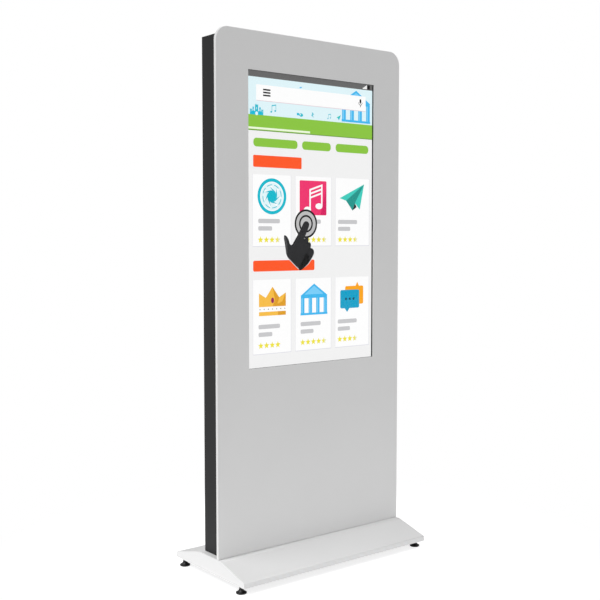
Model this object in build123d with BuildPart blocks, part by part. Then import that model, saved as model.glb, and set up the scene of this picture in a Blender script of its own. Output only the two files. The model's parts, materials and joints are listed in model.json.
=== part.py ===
from build123d import *
import math
import os

# Touchscreen kiosk, in millimetres. +X is to the right of a person facing the screen, the screen
# faces -Y, +Z is up, and the origin is on the floor under the middle of the base.

os.makedirs("parts", exist_ok=True)

# ---------------------------------------------------------------- driving dimensions
# Screen window and front panel
screen_width = 530.0
screen_height = 941.0
side_margin = 120.5
top_margin = 122.0
bottom_margin = 593.0
panel_front = -57.0
panel_depth = 10.0
panel_sheet = 2.0
panel_bend_radius = 1.5
panel_corner_radius = 45.0
panel_gap = 0.5
stud_radius = 2.5
stud_length = 9.0
studs_per_side = 7
stud_end_margin = 70.0
panel_nut_flats = 8.0
panel_nut_thickness = 4.0

# Glass and display
glass_recess = 4.0
glass_thickness = 4.0
glass_overlap = 15.0
gasket_thickness = 1.0
gasket_inset = 3.0
module_overlap = 18.0
module_sheet = 1.5
cell_thickness = 3.5
cell_overlap = 8.0
backlight_thickness = 15.0
module_back_depth = 12.0

# Housing
housing_inset = 20.0
housing_depth = 98.0
housing_sheet = 1.5
front_flange = 16.0
rear_flange = 20.0
lip_depth = 10.0
floor_sheet = 2.0
top_front_drop = 14.0
top_rear_drop = 18.5
connection_height = 121.0
door_gap = 1.5
flange_gap = 0.5

# Steel frame inside
upright_width = 30.0
upright_depth = 40.0
tube_wall = 2.0
foot_plate_size = 80.0
foot_plate_thickness = 6.0
rail_height = 30.0
rail_depth = 20.0
display_rail_width = 40.0
display_rail_thickness = 5.0
display_rail_length = 720.0
display_rail_offset = 150.0
cross_rail_offset = 300.0
bolt_radius = 5.0
bolt_hole_radius = 5.5
bolt_head_flats = 17.0
bolt_head_height = 6.4
bolt_inset = 25.0
bolt_spacing = 44.0
nut_flats = 17.0
nut_height = 8.0
nut_bore_radius = 5.05
nut_turn = 30.0

# Base
base_depth = 394.0
base_height = 53.0
base_lip_height = 17.0
base_sheet = 2.5
base_bend_radius = 40.0
base_lip_radius = 4.0
crown_front_margin = 15.0
crown_rear_margin = 5.0
end_plate_thickness = 3.0
base_plate_thickness = 8.0
base_plate_recess = 1.0
riser_wall = 4.0
plinth_hole_spacing_x = 500.0
plinth_hole_spacing_y = 240.0

# Levelling feet
foot_height = 24.0
foot_end_inset = 13.0
foot_side_inset = 34.0
pad_radius = 17.0
pad_edge = 4.0
pad_chamfer = 1.0
pad_ledge = 2.0
cone_sag_radius = 10.0
cone_waist_radius = 6.6
cone_waist_height = 17.0
cone_top_radius = 6.3
foot_stop_gap = 0.3
foot_stud_height = 44.5

# Rear door, hinges and locks
hinge_count = 3
hinge_end_margin = 150.0
hinge_height = 80.0
leaf_thickness = 2.0
leaf_width = 16.0
leaf_reach = 5.0
knuckle_radius = 4.4
knuckle_gap = 0.3
knuckle_split = 0.4
pin_radius = 2.0
pin_press = 0.02
pin_clearance = 0.05
pin_head_radius = 3.5
pin_head_height = 2.0
stiffener_width = 40.0
stiffener_depth = 8.0
stiffener_offset = 230.0
slot_length = 64.0
slot_height = 5.0
slot_pitch = 10.0
slot_rows = 7
vent_spacing = 120.0
filter_thickness = 5.0
filter_margin = 8.0
intake_height = 60.0
lock_inset = 24.0
lock_spacing = 700.0
barrel_radius = 9.0
barrel_flange_radius = 11.5
barrel_flange = 2.5
plug_radius = 6.0
plug_clearance = 0.05
plug_recess = 0.3
key_slot_width = 1.6
key_slot_height = 8.0
key_slot_depth = 6.0
plug_stud_radius = 3.0
cam_thickness = 2.5
cam_width = 14.0
cam_reach = 34.0
cam_gap = 0.3
cam_nut_flats = 10.0
cam_nut_thickness = 4.0
strike_thickness = 2.0
strike_width = 14.5
strike_height = 40.0

# Fans
fan_size = 80.0
fan_depth = 25.0
fan_corner_radius = 4.0
fan_bore_radius = 37.5
fan_screw_spacing = 71.5
fan_screw_radius = 2.2
fan_spacing = 120.0
fan_plate_width = 270.0
fan_plate_gap = 5.0
spider_thickness = 3.0
spider_arm = 6.0
spider_sink = 1.0
hub_radius = 15.0
hub_gap = 1.0
shaft_radius = 2.0
shaft_clearance = 0.05
blade_count = 7
blade_length = 22.5
blade_chord = 18.0
blade_thickness = 1.8
blade_pitch = 35.0
blade_root_radius = 13.0

# Connection panel: mains inlet, rocker switch and network port
port_spacing = 60.0
port_height = 61.0
inlet_width = 27.0
inlet_height = 20.0
inlet_depth = 28.0
inlet_flange = (50.0, 27.0)
inlet_flange_thickness = 3.0
inlet_wall = 1.3
socket_depth = 18.0
blade_contact = (2.0, 4.0)
blade_contact_length = 11.0
blade_contact_spacing = 7.0
switch_width = 19.0
switch_height = 27.0
switch_depth = 21.0
switch_flange_margin = 1.5
switch_flange_thickness = 2.0
switch_well_width = 14.0
switch_well_height = 24.0
rocker_side_gap = 0.3
rocker_pivot_depth = 4.0
rocker_well_depth = 9.0
rocker_tilt = 10.0
rocker_pin_radius = 1.2
rocker_pin_length = 1.3
rocker_end_gap = 1.5
rocker_end_rise = 1.2
rocker_middle_dip = 0.6
rocker_back_share = 0.65
port_width = 16.0
port_face_height = 14.0
port_depth = 22.0
port_wall = 2.0
port_socket_depth = 14.0

# Equipment on its plate
equipment_sheet = 2.0
equipment_bottom = 205.0
equipment_top = 570.0
equipment_side_gap = 4.0
case_sheet = 1.5
pc_x = (-310.0, -130.0)
pc_z = (390.0, 550.0)
pc_depth = 36.0
pc_board_thickness = 6.0
pc_board_gap = 6.0
button_radius = 5.0
button_clearance = 0.3
button_length = 4.5
button_proud = 1.0
button_drop = 20.0
button_guide_wall = 2.0
supply_x = (90.0, 305.0)
supply_z = (400.0, 515.0)
supply_depth = 30.0
controller_x = (-90.0, 60.0)
controller_z = (400.0, 520.0)
controller_depth = 20.0
touch_box_x = (-90.0, -10.0)
touch_box_z = (300.0, 345.0)
touch_box_depth = 15.0
terminal_x = (105.0, 185.0)
terminal_z = (340.0, 362.0)
terminal_depth = 24.0
terminal_count = 8

# Cables inside
mains_cable_radius = 3.5
display_cable_radius = 3.0
touch_cable_radius = 2.0
touch_cable_x = 75.0
cable_bend = 15.0

# ---------------------------------------------------------------- derived places
panel_width = screen_width + 2 * side_margin
panel_height = bottom_margin + screen_height + top_margin
base_bottom = foot_height
crown = base_bottom + base_height
panel_bottom = crown + panel_gap
panel_top = panel_bottom + panel_height
panel_back = panel_front + panel_depth
face_back = panel_front + panel_sheet
screen_bottom = panel_bottom + bottom_margin
screen_middle = screen_bottom + screen_height / 2

glass_front = panel_front + glass_recess
glass_back = glass_front + glass_thickness
gasket_back = glass_back + gasket_thickness
cell_front = gasket_back + module_sheet
cell_back = cell_front + cell_thickness
backlight_back = cell_back + backlight_thickness
module_back = backlight_back + module_back_depth
glass_bottom = screen_bottom - glass_overlap

housing_back = panel_back + housing_depth
housing_half = panel_width / 2 - housing_inset
housing_inner = housing_half - housing_sheet
housing_top = panel_top - housing_inset
cover_under = housing_top - housing_sheet
rear_inner = housing_back - housing_sheet
lip_front = housing_back - lip_depth
opening_half = housing_half - rear_flange
floor_top = crown + floor_sheet
front_flange_bottom = panel_bottom + panel_sheet + flange_gap
connection_top = floor_top + connection_height
door_half = opening_half - door_gap
door_bottom = connection_top + door_gap
door_top = housing_top - housing_sheet - top_rear_drop - door_gap

upright_inner = housing_inner - upright_width
upright_front = -upright_depth / 2
rail_front = module_back + display_rail_thickness
rail_back = rail_front + rail_depth
foot_plate_inner = housing_inner - foot_plate_size
bolt_x = upright_inner - bolt_inset

base_half = panel_width / 2
base_inner_half = base_half - end_plate_thickness
crown_front = panel_front - crown_front_margin
crown_rear = housing_back + crown_rear_margin
plate_bottom = base_bottom + base_plate_recess
plate_top = plate_bottom + base_plate_thickness
crown_under = crown - base_sheet
foot_x = base_half - foot_end_inset
foot_y = base_depth / 2 - foot_side_inset

hinge_axis_x = opening_half - door_gap / 2
hinge_axis_y = housing_back + knuckle_radius + knuckle_gap
hinge_run = door_top - door_bottom - 2 * hinge_end_margin
hinge_heights = [
    door_bottom + hinge_end_margin + hinge_run * k / (hinge_count - 1)
    for k in range(hinge_count)
]
lock_x = -(door_half - lock_inset)
lock_middle = (door_bottom + door_top) / 2
lock_heights = {
    "lower": lock_middle - lock_spacing / 2,
    "upper": lock_middle + lock_spacing / 2,
}
strike_front = lip_front - strike_thickness
cam_back = strike_front - cam_gap
cam_front = cam_back - cam_thickness

fan_plate_back = lip_front - fan_plate_gap
fan_plate_front = fan_plate_back - equipment_sheet
fan_front = fan_plate_front - fan_depth
fan_rail_top = door_top - slot_pitch * slot_rows - rail_height
fan_shelf_top = fan_rail_top + equipment_sheet
fan_middle = fan_shelf_top + fan_size / 2
intake_middle = door_bottom + intake_height
port_z = floor_top + port_height
plate_face = upright_front
equipment_front = plate_face - equipment_sheet
equipment_half_width = housing_inner - equipment_side_gap


def facing(x, y, z):
    """A plane whose own x is +X and y is +Z, and whose normal points to the front, -Y."""
    return Plane(origin=(x, y, z), x_dir=(1, 0, 0), z_dir=(0, -1, 0))


def upward(x, y, z):
    """A plane whose normal points up."""
    return Plane(origin=(x, y, z), x_dir=(1, 0, 0), z_dir=(0, 0, 1))


def rightward(x, y, z, tilt=0):
    """A plane whose normal is +X, and whose own x is +Y turned about the normal by the tilt."""
    turn = math.radians(tilt)
    own_x = (0, math.cos(turn), math.sin(turn))
    return Plane(origin=(x, y, z), x_dir=own_x, z_dir=(1, 0, 0))


def block(x, y, z, mode=Mode.ADD):
    """A rectangular block between two limits on each axis, in either order."""
    with Locations((sum(x) / 2, sum(y) / 2, sum(z) / 2)):
        Box(abs(x[1] - x[0]), abs(y[1] - y[0]), abs(z[1] - z[0]), mode=mode)


def bar(plane, radius, length, mode=Mode.ADD):
    """A round bar or hole that starts on the plane and runs along its normal."""
    with BuildSketch(plane) as section:
        Circle(radius)
    extrude(section.sketch, amount=length, mode=mode)


def nut(plane, flats, height, bore):
    """A hexagon nut, or a bolt head where the bore is 0, on the plane."""
    with BuildSketch(plane) as section:
        RegularPolygon(radius=flats / 2, side_count=6, major_radius=False)
        if bore:
            Circle(bore, mode=Mode.SUBTRACT)
    extrude(section.sketch, amount=height)


def screen_frame(back, depth, outer_margin, inner_margin):
    """A ring round the screen window, from its back plane forward."""
    with BuildSketch(facing(0, back, screen_middle)) as ring:
        Rectangle(screen_width + 2 * outer_margin, screen_height + 2 * outer_margin)
        Rectangle(
            screen_width + 2 * inner_margin,
            screen_height + 2 * inner_margin,
            mode=Mode.SUBTRACT,
        )
    extrude(ring.sketch, amount=depth)


def screen_slab(back, depth, margin):
    """A plate behind the screen window, from its back plane forward."""
    with BuildSketch(facing(0, back, screen_middle)) as plate:
        Rectangle(screen_width + 2 * margin, screen_height + 2 * margin)
    extrude(plate.sketch, amount=depth)


# ---------------------------------------------------------------- front panel
stud_x = housing_half - front_flange / 2
stud_run = cover_under - floor_top - 2 * stud_end_margin
stud_heights = [
    floor_top + stud_end_margin + stud_run * k / (studs_per_side - 1)
    for k in range(studs_per_side)
]


def panel_outline(inset):
    """The panel's outline, drawn in by the inset, with its two top corners rounded."""
    Rectangle(panel_width - 2 * inset, panel_height - 2 * inset)
    fillet(vertices().group_by(Axis.Y)[-1], panel_corner_radius - inset)


with BuildPart() as front_panel:
    panel_middle = panel_bottom + panel_height / 2
    with BuildSketch(facing(0, panel_back, panel_middle)):
        panel_outline(0)
    extrude(amount=panel_depth)
    front_face = front_panel.faces().sort_by(Axis.Y)[0]
    fillet(front_face.outer_wire().edges(), panel_bend_radius)
    with BuildSketch(facing(0, panel_back, panel_middle)):
        panel_outline(panel_sheet)
    extrude(amount=panel_depth - panel_sheet, mode=Mode.SUBTRACT)
    with BuildSketch(facing(0, face_back, screen_middle)):
        Rectangle(screen_width, screen_height)
    extrude(amount=panel_sheet, mode=Mode.SUBTRACT)
    for side in (-1, 1):
        for height in stud_heights:
            bar(facing(side * stud_x, face_back + stud_length, height), stud_radius, stud_length)
front_panel.part.label = "front_panel"
export_step(front_panel.part, "parts/front_panel.step")

with BuildPart() as panel_nuts:
    nut_plane_y = face_back + housing_sheet + panel_nut_thickness
    for side in (-1, 1):
        for height in stud_heights:
            nut(
                facing(side * stud_x, nut_plane_y, height),
                panel_nut_flats,
                panel_nut_thickness,
                stud_radius + pin_clearance,
            )
panel_nuts.part.label = "panel_nuts"
export_step(panel_nuts.part, "parts/panel_nuts.step")

with BuildPart() as window_frame:
    screen_frame(glass_front, glass_front - face_back, glass_overlap, 0)
window_frame.part.label = "window_frame"
export_step(window_frame.part, "parts/window_frame.step")

# ---------------------------------------------------------------- glass and display
with BuildPart() as touch_glass:
    screen_slab(glass_back, glass_thickness, glass_overlap)
touch_glass.part.label = "touch_glass"
export_step(touch_glass.part, "parts/touch_glass.step")

with BuildPart() as glass_gasket:
    screen_frame(gasket_back, gasket_thickness, glass_overlap, gasket_inset)
glass_gasket.part.label = "glass_gasket"
export_step(glass_gasket.part, "parts/glass_gasket.step")

with BuildPart() as lcd_bezel:
    screen_frame(cell_front, module_sheet, module_overlap, module_sheet)
    screen_frame(
        backlight_back,
        backlight_back - cell_front,
        module_overlap,
        module_overlap - module_sheet,
    )
lcd_bezel.part.label = "lcd_bezel"
export_step(lcd_bezel.part, "parts/lcd_bezel.step")

with BuildPart() as lcd_panel:
    screen_slab(cell_back, cell_thickness, cell_overlap)
lcd_panel.part.label = "lcd_panel"
export_step(lcd_panel.part, "parts/lcd_panel.step")

with BuildPart() as backlight_unit:
    screen_slab(backlight_back, backlight_thickness, module_overlap - module_sheet)
backlight_unit.part.label = "backlight_unit"
export_step(backlight_unit.part, "parts/backlight_unit.step")

with BuildPart() as lcd_back_cover:
    screen_slab(module_back, module_sheet, module_overlap)
    screen_frame(
        module_back - module_sheet,
        module_back_depth - module_sheet,
        module_overlap,
        module_overlap - module_sheet,
    )
lcd_back_cover.part.label = "lcd_back_cover"
export_step(lcd_back_cover.part, "parts/lcd_back_cover.step")

with BuildPart() as display_rails:
    rail_half = display_rail_length / 2
    for side in (-1, 1):
        block(
            (
                side * display_rail_offset - display_rail_width / 2,
                side * display_rail_offset + display_rail_width / 2,
            ),
            (module_back, rail_front),
            (screen_middle - rail_half, screen_middle + rail_half),
        )
display_rails.part.label = "display_rails"
export_step(display_rails.part, "parts/display_rails.step")

# ---------------------------------------------------------------- steel frame
with BuildPart() as cross_rails:
    rail_tops = (
        screen_middle - cross_rail_offset + rail_height / 2,
        screen_middle + cross_rail_offset + rail_height / 2,
        fan_rail_top,
    )
    for rail_top in rail_tops:
        rail_z = (rail_top - rail_height, rail_top)
        block((-upright_inner, upright_inner), (rail_front, rail_back), rail_z)
        block(
            (-upright_inner, upright_inner),
            (rail_front + tube_wall, rail_back - tube_wall),
            (rail_z[0] + tube_wall, rail_z[1] - tube_wall),
            mode=Mode.SUBTRACT,
        )
cross_rails.part.label = "cross_rails"
export_step(cross_rails.part, "parts/cross_rails.step")

for side, name in ((-1, "left"), (1, "right")):
    with BuildPart() as upright:
        plate_z = (floor_top, floor_top + foot_plate_thickness)
        block(
            (side * foot_plate_inner, side * housing_inner),
            (-foot_plate_size / 2, foot_plate_size / 2),
            plate_z,
        )
        tube_z = (plate_z[1], cover_under)
        block(
            (side * upright_inner, side * housing_inner),
            (-upright_depth / 2, upright_depth / 2),
            tube_z,
        )
        block(
            (side * (upright_inner + tube_wall), side * (housing_inner - tube_wall)),
            (-upright_depth / 2 + tube_wall, upright_depth / 2 - tube_wall),
            tube_z,
            mode=Mode.SUBTRACT,
        )
        for y in (-bolt_spacing / 2, bolt_spacing / 2):
            bar(
                upward(side * bolt_x, y, plate_z[0]),
                bolt_hole_radius,
                foot_plate_thickness,
                mode=Mode.SUBTRACT,
            )
    upright.part.label = f"upright_{name}"
    export_step(upright.part, f"parts/upright_{name}.step")

# ---------------------------------------------------------------- housing
for side, name in ((-1, "left"), (1, "right")):
    with BuildPart() as side_panel:
        web_x = (side * housing_inner, side * housing_half)
        block(web_x, (panel_back, housing_back), (crown, housing_top))
        block(web_x, (face_back, panel_back), (front_flange_bottom, housing_top))
        block(
            (side * (housing_half - front_flange), side * housing_inner),
            (face_back, face_back + housing_sheet),
            (front_flange_bottom, cover_under),
        )
        flange_z = (floor_top, cover_under)
        block((side * opening_half, side * housing_inner), (rear_inner, housing_back), flange_z)
        block(
            (side * opening_half, side * (opening_half + housing_sheet)),
            (lip_front, rear_inner),
            flange_z,
        )
        for height in stud_heights:
            bar(
                facing(side * stud_x, face_back + housing_sheet, height),
                stud_radius + 2 * pin_clearance,
                housing_sheet,
                mode=Mode.SUBTRACT,
            )
    side_panel.part.label = f"side_panel_{name}"
    export_step(side_panel.part, f"parts/side_panel_{name}.step")

with BuildPart() as top_cover:
    block((-housing_inner, housing_inner), (face_back, housing_back), (cover_under, housing_top))
    front_half = housing_half - front_flange - flange_gap
    block(
        (-front_half, front_half),
        (face_back, face_back + housing_sheet),
        (cover_under - top_front_drop, cover_under),
    )
    rear_half = opening_half - flange_gap
    block(
        (-rear_half, rear_half),
        (rear_inner, housing_back),
        (cover_under - top_rear_drop, cover_under),
    )
top_cover.part.label = "top_cover"
export_step(top_cover.part, "parts/top_cover.step")

with BuildPart() as housing_floor:
    block((-housing_inner, housing_inner), (panel_back, housing_back), (crown, floor_top))
    for side in (-1, 1):
        for y in (-bolt_spacing / 2, bolt_spacing / 2):
            bar(
                upward(side * bolt_x, y, crown),
                bolt_hole_radius,
                floor_sheet,
                mode=Mode.SUBTRACT,
            )
housing_floor.part.label = "housing_floor"
export_step(housing_floor.part, "parts/housing_floor.step")

with BuildPart() as connection_panel:
    block((-opening_half, opening_half), (rear_inner, housing_back), (floor_top, connection_top))
    block(
        (-opening_half, opening_half),
        (lip_front, rear_inner),
        (connection_top - housing_sheet, connection_top),
    )
    cutouts = (
        (-port_spacing, inlet_width, inlet_height),
        (0, switch_width, switch_height),
        (port_spacing, port_width, port_face_height),
    )
    for x, width, height in cutouts:
        block(
            (x - width / 2, x + width / 2),
            (rear_inner, housing_back),
            (port_z - height / 2, port_z + height / 2),
            mode=Mode.SUBTRACT,
        )
connection_panel.part.label = "connection_panel"
export_step(connection_panel.part, "parts/connection_panel.step")

# ---------------------------------------------------------------- mains inlet, switch, network port
with BuildPart() as mains_inlet:
    flange_back = housing_back + inlet_flange_thickness
    with BuildSketch(facing(-port_spacing, flange_back, port_z)):
        RectangleRounded(inlet_flange[0], inlet_flange[1], inlet_flange_thickness)
    extrude(amount=inlet_flange_thickness)
    with BuildSketch(facing(-port_spacing, housing_back, port_z)):
        Rectangle(inlet_width, inlet_height)
    extrude(amount=inlet_depth)
    with BuildSketch(facing(-port_spacing, flange_back, port_z)):
        Rectangle(inlet_width - 2 * inlet_wall, inlet_height - 2 * inlet_wall)
    extrude(amount=socket_depth, mode=Mode.SUBTRACT)
mains_inlet.part.label = "mains_inlet"
export_step(mains_inlet.part, "parts/mains_inlet.step")

with BuildPart() as inlet_contacts:
    contact_floor = flange_back - socket_depth
    for k in (-1, 0, 1):
        contact_x = -port_spacing + k * blade_contact_spacing
        block(
            (contact_x - blade_contact[0] / 2, contact_x + blade_contact[0] / 2),
            (contact_floor, contact_floor + blade_contact_length),
            (port_z - blade_contact[1] / 2, port_z + blade_contact[1] / 2),
        )
inlet_contacts.part.label = "inlet_contacts"
export_step(inlet_contacts.part, "parts/inlet_contacts.step")

rocker_pivot_y = housing_back - rocker_pivot_depth
with BuildPart() as switch_body:
    switch_face = housing_back + switch_flange_thickness
    with BuildSketch(facing(0, switch_face, port_z)):
        Rectangle(switch_width + 2 * switch_flange_margin, switch_height + 2 * switch_flange_margin)
    extrude(amount=switch_flange_thickness)
    with BuildSketch(facing(0, housing_back, port_z)):
        Rectangle(switch_width, switch_height)
    extrude(amount=switch_depth)
    with BuildSketch(facing(0, switch_face, port_z)):
        Rectangle(switch_well_width, switch_well_height)
    extrude(amount=switch_face - rocker_pivot_y + rocker_well_depth, mode=Mode.SUBTRACT)
    pin_hole_half = switch_well_width / 2 + rocker_pin_length
    bar(
        rightward(-pin_hole_half, rocker_pivot_y, port_z),
        rocker_pin_radius + pin_clearance,
        2 * pin_hole_half,
        mode=Mode.SUBTRACT,
    )
switch_body.part.label = "switch_body"
export_step(switch_body.part, "parts/switch_body.step")

with BuildPart() as switch_rocker:
    rocker_half = switch_well_width / 2 - rocker_side_gap
    rocker_reach = switch_well_height / 2 - rocker_end_gap
    rocker_back_reach = rocker_reach * rocker_back_share
    with BuildSketch(rightward(-rocker_half, rocker_pivot_y, port_z, -rocker_tilt)):
        with BuildLine():
            Polyline(
                (rocker_pivot_depth + rocker_end_rise, rocker_reach),
                (rocker_pivot_depth - rocker_middle_dip, 0),
                (rocker_pivot_depth + rocker_end_rise, -rocker_reach),
                (-rocker_pivot_depth, -rocker_back_reach),
                (-rocker_pivot_depth, rocker_back_reach),
                close=True,
            )
        make_face()
    extrude(amount=2 * rocker_half)
    rocker_pin_half = pin_hole_half - rocker_side_gap
    bar(
        rightward(-rocker_pin_half, rocker_pivot_y, port_z),
        rocker_pin_radius,
        2 * rocker_pin_half,
    )
switch_rocker.part.label = "switch_rocker"
export_step(switch_rocker.part, "parts/switch_rocker.step")

with BuildPart() as network_port:
    port_face = housing_back + port_wall / 2
    with BuildSketch(facing(port_spacing, port_face, port_z)):
        Rectangle(port_width + port_wall, port_face_height + port_wall)
    extrude(amount=port_wall / 2)
    with BuildSketch(facing(port_spacing, housing_back, port_z)):
        Rectangle(port_width, port_face_height)
    extrude(amount=port_depth)
    with BuildSketch(facing(port_spacing, port_face, port_z)):
        Rectangle(port_width - 2 * port_wall, port_face_height - 2 * port_wall)
    extrude(amount=port_socket_depth, mode=Mode.SUBTRACT)
network_port.part.label = "network_port"
export_step(network_port.part, "parts/network_port.step")

# ---------------------------------------------------------------- rear door
vent_centres = [
    (side * vent_spacing / 2, height)
    for side in (-1, 1)
    for height in (fan_middle, intake_middle)
]
with BuildPart() as rear_door:
    block((-door_half, door_half), (lip_front, housing_back), (door_bottom, door_top))
    block(
        (-door_half + housing_sheet, door_half - housing_sheet),
        (lip_front, rear_inner),
        (door_bottom + housing_sheet, door_top - housing_sheet),
        mode=Mode.SUBTRACT,
    )
    for x, z in vent_centres:
        with BuildSketch(facing(x, housing_back, z)):
            with GridLocations(slot_length, slot_pitch, 1, slot_rows):
                SlotOverall(slot_length, slot_height)
        extrude(amount=housing_sheet, mode=Mode.SUBTRACT)
    for height in lock_heights.values():
        bar(facing(lock_x, housing_back, height), barrel_radius, housing_sheet, Mode.SUBTRACT)
rear_door.part.label = "rear_door"
export_step(rear_door.part, "parts/rear_door.step")

with BuildPart() as door_stiffeners:
    stiffener_z = (door_bottom + stiffener_offset / 2, door_top - stiffener_offset / 2)
    for side in (-1, 1):
        stiffener_x = (
            side * stiffener_offset - stiffener_width / 2,
            side * stiffener_offset + stiffener_width / 2,
        )
        block(stiffener_x, (rear_inner - stiffener_depth, rear_inner), stiffener_z)
        block(
            (stiffener_x[0] + housing_sheet, stiffener_x[1] - housing_sheet),
            (rear_inner - stiffener_depth + housing_sheet, rear_inner),
            stiffener_z,
            mode=Mode.SUBTRACT,
        )
door_stiffeners.part.label = "door_stiffeners"
export_step(door_stiffeners.part, "parts/door_stiffeners.step")

with BuildPart() as intake_filter:
    filter_half_x = (vent_spacing + slot_length) / 2 + filter_margin
    filter_half_z = slot_pitch * slot_rows / 2 + filter_margin
    block(
        (-filter_half_x, filter_half_x),
        (rear_inner - filter_thickness, rear_inner),
        (intake_middle - filter_half_z, intake_middle + filter_half_z),
    )
intake_filter.part.label = "intake_filter"
export_step(intake_filter.part, "parts/intake_filter.step")

# ---------------------------------------------------------------- hinges
knuckle_third = (hinge_height - 2 * knuckle_split) / 3
knuckle_starts = [k * (knuckle_third + knuckle_split) - hinge_height / 2 for k in range(3)]


def leaf(side, middle, knuckles, bore):
    """One hinge leaf on the housing's rear face, with its knuckles round the hinge axis."""
    block(
        (hinge_axis_x + side * leaf_reach, hinge_axis_x + side * (leaf_reach + leaf_width)),
        (housing_back, housing_back + leaf_thickness),
        (middle - hinge_height / 2, middle + hinge_height / 2),
    )
    for k in knuckles:
        low = middle + knuckle_starts[k]
        block(
            (hinge_axis_x, hinge_axis_x + side * leaf_reach),
            (housing_back, housing_back + leaf_thickness),
            (low, low + knuckle_third),
        )
        axis_plane = upward(hinge_axis_x, hinge_axis_y, low)
        bar(axis_plane, knuckle_radius, knuckle_third)
        bar(axis_plane, bore, knuckle_third, mode=Mode.SUBTRACT)


with BuildPart() as hinge_frame_leaves:
    for middle in hinge_heights:
        leaf(1, middle, (0, 2), pin_radius + pin_press)
hinge_frame_leaves.part.label = "hinge_frame_leaves"
export_step(hinge_frame_leaves.part, "parts/hinge_frame_leaves.step")

with BuildPart() as hinge_door_leaves:
    for middle in hinge_heights:
        leaf(-1, middle, (1,), pin_radius + pin_clearance)
hinge_door_leaves.part.label = "hinge_door_leaves"
export_step(hinge_door_leaves.part, "parts/hinge_door_leaves.step")

with BuildPart() as hinge_pins:
    for middle in hinge_heights:
        low = middle - hinge_height / 2
        bar(upward(hinge_axis_x, hinge_axis_y, low), pin_radius, hinge_height)
        pin_seat = upward(hinge_axis_x, hinge_axis_y, low + hinge_height)
        bar(pin_seat, pin_head_radius, pin_head_height)
hinge_pins.part.label = "hinge_pins"
export_step(hinge_pins.part, "parts/hinge_pins.step")

# ---------------------------------------------------------------- cam locks
with BuildPart() as lock_barrels:
    barrel_back = housing_back + barrel_flange
    for height in lock_heights.values():
        bar(facing(lock_x, barrel_back, height), barrel_flange_radius, barrel_flange)
        bar(facing(lock_x, housing_back, height), barrel_radius, housing_back - strike_front)
        bar(
            facing(lock_x, barrel_back, height),
            plug_radius + plug_clearance,
            barrel_back - strike_front,
            mode=Mode.SUBTRACT,
        )
lock_barrels.part.label = "lock_barrels"
export_step(lock_barrels.part, "parts/lock_barrels.step")

for name, height in lock_heights.items():
    plug_back = barrel_back - plug_recess
    with BuildPart() as lock_plug:
        bar(facing(lock_x, plug_back, height), plug_radius, plug_back - cam_back)
        bar(
            facing(lock_x, cam_back, height),
            plug_stud_radius,
            cam_thickness + cam_nut_thickness,
        )
        with BuildSketch(facing(lock_x, plug_back, height)):
            Rectangle(key_slot_width, key_slot_height)
        extrude(amount=key_slot_depth, mode=Mode.SUBTRACT)
    lock_plug.part.label = f"lock_plug_{name}"
    export_step(lock_plug.part, f"parts/lock_plug_{name}.step")

    with BuildPart() as lock_cam:
        with BuildSketch(facing(lock_x, cam_back, height)):
            Circle(cam_width / 2)
            with Locations((0, cam_reach / 2)):
                Rectangle(cam_width, cam_reach)
            Circle(plug_stud_radius, mode=Mode.SUBTRACT)
        extrude(amount=cam_thickness)
        nut(
            facing(lock_x, cam_front, height),
            cam_nut_flats,
            cam_nut_thickness,
            plug_stud_radius,
        )
    lock_cam.part.label = f"lock_cam_{name}"
    export_step(lock_cam.part, f"parts/lock_cam_{name}.step")

with BuildPart() as lock_strikes:
    for height in lock_heights.values():
        block(
            (-opening_half - strike_width, -opening_half),
            (strike_front, lip_front),
            (height - strike_height / 2, height + strike_height / 2),
        )
lock_strikes.part.label = "lock_strikes"
export_step(lock_strikes.part, "parts/lock_strikes.step")

# ---------------------------------------------------------------- fans
with BuildPart() as fan_plate:
    block(
        (-fan_plate_width / 2, fan_plate_width / 2),
        (fan_plate_front, fan_plate_back),
        (fan_rail_top, fan_shelf_top + fan_size),
    )
    block(
        (-fan_plate_width / 2, fan_plate_width / 2),
        (rail_front, fan_plate_front),
        (fan_rail_top, fan_shelf_top),
    )
    for side in (-1, 1):
        fan_centre = facing(side * fan_spacing / 2, fan_plate_back, fan_middle)
        bar(fan_centre, fan_bore_radius, equipment_sheet, mode=Mode.SUBTRACT)
fan_plate.part.label = "fan_plate"
export_step(fan_plate.part, "parts/fan_plate.step")

with BuildPart() as fan_frames:
    for side in (-1, 1):
        x = side * fan_spacing / 2
        with BuildSketch(facing(x, fan_plate_front, fan_middle)):
            RectangleRounded(fan_size, fan_size, fan_corner_radius)
            Circle(fan_bore_radius, mode=Mode.SUBTRACT)
            with GridLocations(fan_screw_spacing, fan_screw_spacing, 2, 2):
                Circle(fan_screw_radius, mode=Mode.SUBTRACT)
        extrude(amount=fan_depth)
        with BuildSketch(facing(x, fan_front + spider_thickness, fan_middle)):
            Circle(hub_radius)
            for turn in (0, 90):
                Rectangle(2 * fan_bore_radius + spider_sink, spider_arm, rotation=turn)
        extrude(amount=spider_thickness)
        shaft_end = fan_plate_front - 2 * hub_gap
        shaft_length = shaft_end - fan_front - spider_thickness
        bar(facing(x, shaft_end, fan_middle), shaft_radius, shaft_length)
fan_frames.part.label = "fan_frames"
export_step(fan_frames.part, "parts/fan_frames.step")

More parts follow.
